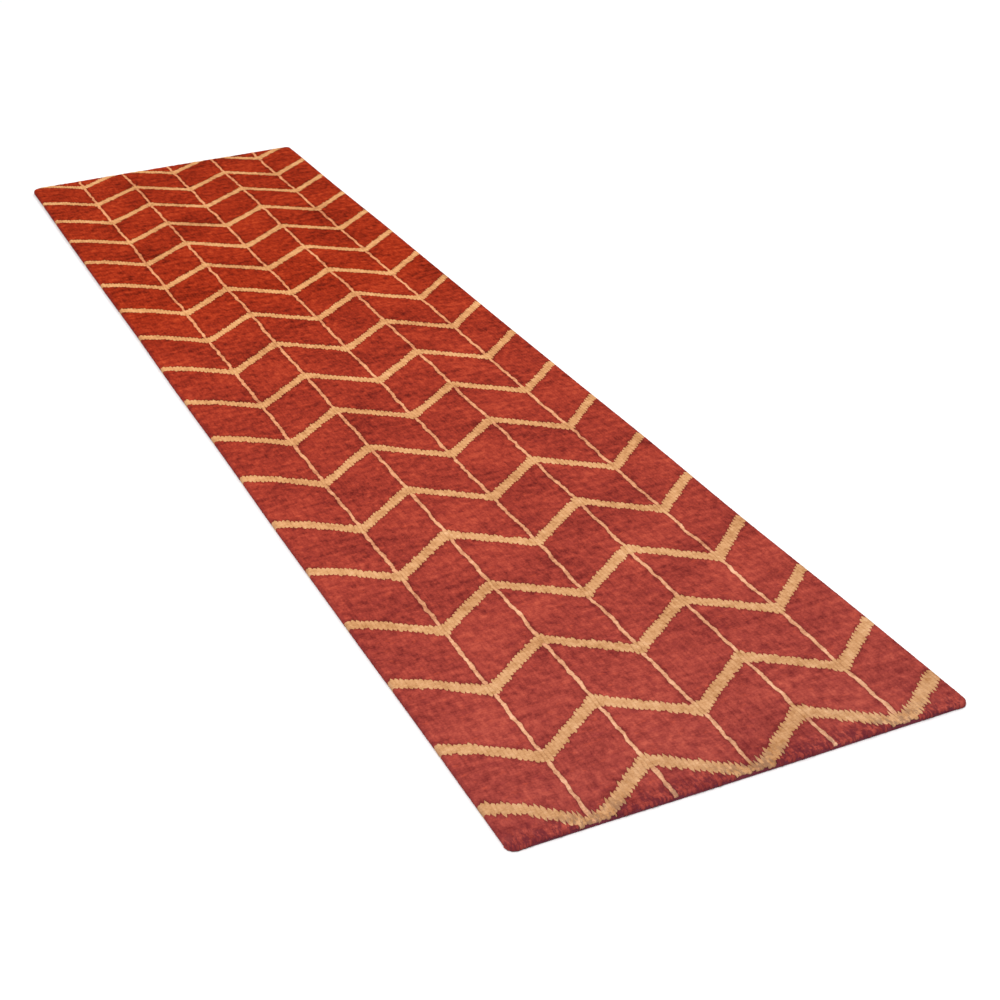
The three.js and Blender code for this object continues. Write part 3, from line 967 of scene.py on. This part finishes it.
def build_pile():
    materials = red_wool(), cream_wool(), line_wool()
    edges = band_edges()
    chance = np.random.default_rng(41)
    near_end, far_end = map(pile_end, (-1, 1), chance.uniform(*ROW_REACH, (2, ROW_COUNT)))
    red = (materials[0], "red_pile", hang_heights(chance, *RED_HANG), SEAM_PAINTED_SHADE)
    cream = (materials[1], "cream_pile", hang_heights(chance, *CREAM_HANG), 0)
    red_near, cream_far, red_far = cut_off(edges, near_end, far_end)
    nowhere, everywhere = np.zeros(COLUMN_COUNT, bool), np.ones(COLUMN_COUNT, bool)

    whole = (0, COLUMN_COUNT - 1)
    for number, span in enumerate(runs(red_near), 1):
        add_pile(f"red_near_{number}", red, span, near_end, edges[0, 0], everywhere, nowhere)
    for band in range(BAND_COUNT - 1):
        low_end = ~red_near if band == 0 else nowhere
        low = np.where(low_end, near_end, edges[band, 0])
        add_pile(f"cream_band_{band + 1:02d}", cream, whole, low, edges[band, 1], low_end, nowhere)
        high_end = ~cream_far if band == BAND_COUNT - 2 else nowhere
        high = np.where(high_end, far_end, edges[band + 1, 0])
        settle = 1 if band == BAND_COUNT - 2 else 4
        add_pile(f"red_course_{band + 1:02d}", red, whole, edges[band, 1], high, nowhere, high_end, settle)
    for number, span in enumerate(runs(cream_far), 1):
        high = np.where(red_far, edges[-1, 1], far_end)
        add_pile(f"cream_far_{number}", cream, span, edges[-1, 0], high, nowhere, ~red_far)
    for number, span in enumerate(runs(red_far), 1):
        add_pile(f"red_far_{number}", red, span, edges[-1, 1], far_end, nowhere, everywhere)
    for index in range(LINE_COUNT):
        name = f"cream_line_{index + 1}"
        middle = np.flatnonzero((columns.line == index) & (columns.spot == 0.5))[0]
        piece = Line(index, *edges[:, :, middle].T, LINE_HANG).build(f"{name}_pile")
        add_piece(piece, materials[2], "cream_line_pile", name)


# ---- Overcast edges

ROLL_SETBACK = 0.6  # between the rug's outline and an end's roll
ROLL_HALF = 1.95
ROLL_SQUARE = 0.7  # 1 is a round roll, and less is squarer
END_ROLL_STEP, SIDE_ROLL_STEP = 0.45, 0.7  # between points along a roll
END_ROLL_SIDES, SIDE_ROLL_SIDES = 16, 10
WRAP_PITCH = 2.6
WRAP_LEAN = 0.5
WRAP_DIP = 0.16  # between two wraps, as a share of the roll
WRAP_DIP_ABOVE = 0.35  # flatter on top, as a share of that


def squarish(value):
    return np.sign(value) * np.abs(value) ** ROLL_SQUARE


def add_roll(name, wool, path, outward, half_width, sides):
    """A closed roll along a path in plan, overcast with yarn: one ridge for each wrap."""
    low, high = node_box(name)
    half_height = (high[2] - low[2]) / 2
    step = np.hypot(*np.diff(path, axis=0).T)
    travelled = np.concatenate([[0], np.cumsum(step)])[:, None]
    angle = 2 * np.pi * np.arange(sides)[None, :] / sides
    ridge = np.abs(np.sin(np.pi * travelled / WRAP_PITCH + WRAP_LEAN * np.sin(angle)))
    swell_out = 1 - WRAP_DIP * (1 - ridge**0.7)
    swell_up = 1 - WRAP_DIP_ABOVE * (1 - swell_out)
    across = squarish(np.cos(angle)) * half_width * swell_out
    x, y = path[:, :1] + outward[:, :1] * across, path[:, 1:] + outward[:, 1:] * across
    z = low[2] + half_height + squarish(np.sin(angle)) * half_height * swell_up
    numbers = np.arange(x.size).reshape(x.shape)
    loops = np.concatenate([numbers, numbers[:, :1]], axis=1)
    caps = [numbers[0], numbers[-1][::-1]]
    piece = make_mesh(f"{name}_overcast", rows_of(x, y, z), grid_quads(loops)[:, ::-1], (), caps)
    add_piece(piece, wool, "edge_wool", name)


def end_roll_path(end):
    """Plan of an end's roll and its outward direction, from one side to the other."""
    inset = ROLL_SETBACK + ROLL_HALF
    path, outward = [], []
    for side in (-1, 1):
        radius = radius_at(np.array([side]), end)[0]
        turn = np.linspace(0, np.pi / 2, math.ceil((radius - inset) * np.pi / 2 / END_ROLL_STEP) + 1)
        out = np.column_stack([side * np.cos(turn), end * np.sin(turn)])
        middle = np.array([side * (HALF_WIDTH - radius), end * (HALF_LENGTH - radius)])
        path.append((middle + (radius - inset) * out)[::-side])
        outward.append(out[::-side])
    start, stop = path[0][-1], path[1][0]
    count = math.ceil((stop[0] - start[0]) / END_ROLL_STEP)
    straight = start + (stop - start) * np.linspace(0, 1, count + 1)[1:-1, None]
    ahead = np.tile([0.0, end], (len(straight), 1))
    return np.concatenate([path[0], straight, path[1]]), np.concatenate([outward[0], ahead, outward[1]])


def build_edges():
    wool = edge_wool()
    for name, end in (("end_edge_near", -1), ("end_edge_far", 1)):
        path, outward = end_roll_path(end)
        add_roll(name, wool, path[::-end], outward[::-end], ROLL_HALF, END_ROLL_SIDES)
    for name in ("side_edge_left", "side_edge_right"):
        low, high = node_box(name)
        middle, half = (low + high) / 2, (high - low) / 2
        turn = np.sign(middle[0])
        along = middle[1] + np.linspace(-half[1], half[1], math.ceil(2 * half[1] / SIDE_ROLL_STEP)) * turn
        path = np.column_stack([np.full(len(along), middle[0]), along])
        outward = np.tile([turn, 0.0], (len(along), 1))
        add_roll(name, wool, path, outward, half[0], SIDE_ROLL_SIDES)


# ---- Layers under the pile

LAYER_GAP = LAYER_WAVE = 0.05
HEM_EDGE = (12, 14)
RIM = np.array([0, 0.3, 0.9, 1.8, 3, 5, 8, 12, 13, 14, 20])  # where a layer's points are closer


def layer_places(low, high, cell):
    inner = np.linspace(low + RIM[-1], high - RIM[-1], math.ceil(2 * high / cell))
    return np.concatenate([low + RIM[:-1], inner, (high - RIM[:-1])[::-1]])


def flat_layer(name, node, cell, material, slot, hem=0.0):
    """A layer of cloth or latex with rounded corners. hem is how far the turned edge stands down."""
    low, high = node_box(node)
    across, along = [layer_places(low[axis], high[axis], cell) for axis in (0, 1)]
    x, share = np.meshgrid(across, along / high[1])
    corner = radius_at(x, share) - (HALF_LENGTH - high[1])
    past = np.clip((np.abs(x) - high[0] + corner) / corner, 0, 1)
    y = share * (high[1] - corner + corner * np.sqrt(1 - past**2))
    wave = LAYER_WAVE * ripple(x, y)
    from_rim = np.minimum(high[0] - np.abs(x), high[1] - np.abs(y))
    upper = high[2] - LAYER_GAP + wave
    under = low[2] + LAYER_GAP + wave + hem * smooth(*HEM_EDGE, from_rim)
    numbers = np.arange(x.size).reshape(x.shape)
    below = numbers + x.size
    points = np.concatenate([rows_of(x, y, upper), rows_of(x, y, under)])
    walls = [ribbon(numbers[0], below[0]), ribbon(numbers[-1], below[-1])[:, ::-1]]
    walls += [ribbon(numbers[:, 0], below[:, 0])[:, ::-1], ribbon(numbers[:, -1], below[:, -1])]
    quads = np.concatenate([grid_quads(numbers), grid_quads(below)[:, ::-1]])
    piece = make_mesh(name, points, quads, np.concatenate(walls))
    return add_piece(piece, material, slot, node)


def build_layers():
    cotton = woven("backing_cotton", 1.4, (0.42, 0.34, 0.23), (0.6, 0.51, 0.37), (0.72, 0.65, 0.51))
    duck = woven("tufting_canvas", 2.0, (0.45, 0.37, 0.25), (0.63, 0.55, 0.4), (0.75, 0.69, 0.54))
    cloth = flat_layer("backing_cloth_woven", "backing_cloth", 8, cotton, "backing_cloth", hem=0.3)
    flat_layer("latex_coat_spread", "latex_coat", 16, latex(), "latex")
    canvas = flat_layer("canvas_woven", "canvas", 14, duck, "canvas")


# ---- Studio

def stand(name, data, place, target, roll=0.0):
    """Put a lamp or a camera at a place, looking at the target."""
    made = bpy.data.objects.new(name, data)
    made.location = place
    made.rotation_mode = "QUATERNION"
    look = (Vector(target) - Vector(place)).to_track_quat("-Z", "Y")
    made.rotation_quaternion = look @ Quaternion((0, 0, 1), -roll)
    bpy.context.scene.collection.objects.link(made)
    return made


def add_area_light(name, place, size, power):
    light = bpy.data.lights.new(name, "AREA")
    light.size = size
    light.energy = power
    stand(name, light, place, (0, 0, 0))


def build_studio():
    bpy.ops.mesh.primitive_plane_add(size=60, location=(0, 0, -0.0004))
    floor = bpy.context.object
    floor.name = "floor"
    shader = Shader("floor_paper", 0.85, specular=0.1)
    tone = shader.noise((900, 900, 900), 1.0)
    paper = shader.ramp(tone, (0.3, 0.7), [(0.93, 0.93, 0.93), (0.95, 0.95, 0.95)])
    floor.data.materials.append(shader.colour(paper))
    world = bpy.data.worlds.new("studio")
    world.use_nodes = True
    light = world.node_tree.nodes["Background"].inputs
    light["Color"].default_value = (1, 1, 1, 1)
    light["Strength"].default_value = 0.75
    bpy.context.scene.world = world
    add_area_light("key", (-2.5, -3.5, 5.0), 3.5, 260)
    add_area_light("fill", (3.5, 2.0, 5.0), 4.0, 120)
    bpy.context.scene.view_settings.view_transform = "Standard"


def build_camera():
    camera = bpy.data.cameras.new("camera")
    camera.lens = 65.147
    camera.sensor_width = 36
    camera.clip_start = 0.05
    place, target = (-1.0352, -3.1511, 1.4546), (0.0268, -0.634, 0.0)
    bpy.context.scene.camera = stand("camera", camera, place, target, math.radians(2.687))


build_camera()
build_studio()
build_layers()
build_edges()
build_pile()
